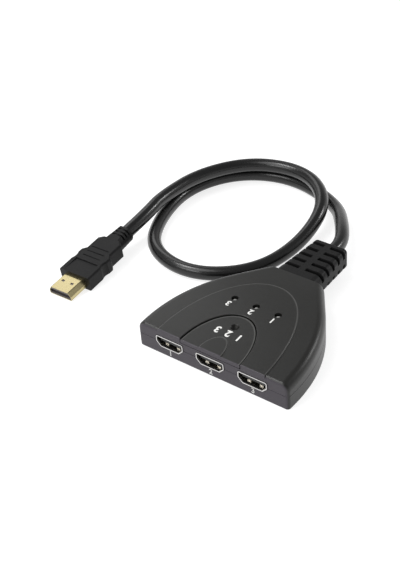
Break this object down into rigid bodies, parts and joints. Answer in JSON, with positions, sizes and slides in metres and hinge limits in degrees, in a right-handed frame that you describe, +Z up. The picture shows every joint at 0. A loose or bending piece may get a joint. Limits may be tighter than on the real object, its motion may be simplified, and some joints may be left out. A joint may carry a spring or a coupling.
{
  "type": "video switch box",
  "caption": "Flat video switch box with a row of numbered sockets, a push tongue, indicator lights and a captive lead that ends in a plug.",
  "frame": {"origin": "on the surface the box stands on, under the middle of the casing with its strain relief", "axes": "+Z up, -Y out of the sockets, +Y along the strain relief, X across the row of sockets"},
  "size_m": [0.1464, 0.1549, 0.016],
  "materials": {
    "cover": "satin dark grey moulding",
    "screw": "zinc plated",
    "board": "green solder mask",
    "chip": "black moulding compound",
    "bright_metal": "nickel plated sheet",
    "insulator": "black moulding",
    "moulding": "matte black soft moulding",
    "jacket": "semi-gloss black jacket",
    "wire": "coloured wire insulation",
    "gold": "gold plated",
    "lens": "clear dome"
  },
  "bodies": {
    "base": {"board_capacitors": "bright_metal", "board_resistors": "chip", "board_wires": "wire", "bottom_cover": "cover", "cable": "jacket", "casing_screws": "screw", "circuit_board": "board", "crystal": "bright_metal", "lead_end": "jacket", "light_1": "lens", "light_2": "lens", "light_3": "lens", "logic_chip": "chip", "plug_contacts": "gold", "plug_insulator": "insulator", "plug_overmold": "moulding", "plug_shell": "gold", "port_blade_1": "insulator", "port_blade_2": "insulator", "port_blade_3": "insulator", "port_contacts_1": "gold", "port_contacts_2": "gold", "port_contacts_3": "gold", "port_shell_1": "bright_metal", "port_shell_2": "bright_metal", "port_shell_3": "bright_metal", "strain_relief": "moulding", "switch_body": "bright_metal", "switch_chip": "chip", "top_cover": "cover"},
    "tongue": {"select_button": "cover"},
    "plunger": {"switch_plunger": "insulator"}
  },
  "joints": [
    {"name": "tongue_hinge", "type": "hinge", "parent": "base", "child": "tongue", "pos_m": [0, -0.0432, 0.0097], "axis": [-1, 0, 0], "range_deg": [0, 1.2], "stiffness_Nm_per_rad": 0.6, "springref_deg": -1.15},
    {"name": "plunger_slide", "type": "slide", "parent": "base", "child": "plunger", "axis": [0, 0, -1], "range_m": [0, 0.00036]}
  ],
  "couplings": [
    {"joint": "plunger_slide", "follows": "tongue_hinge", "m_per_rad": 0.0161}
  ]
}
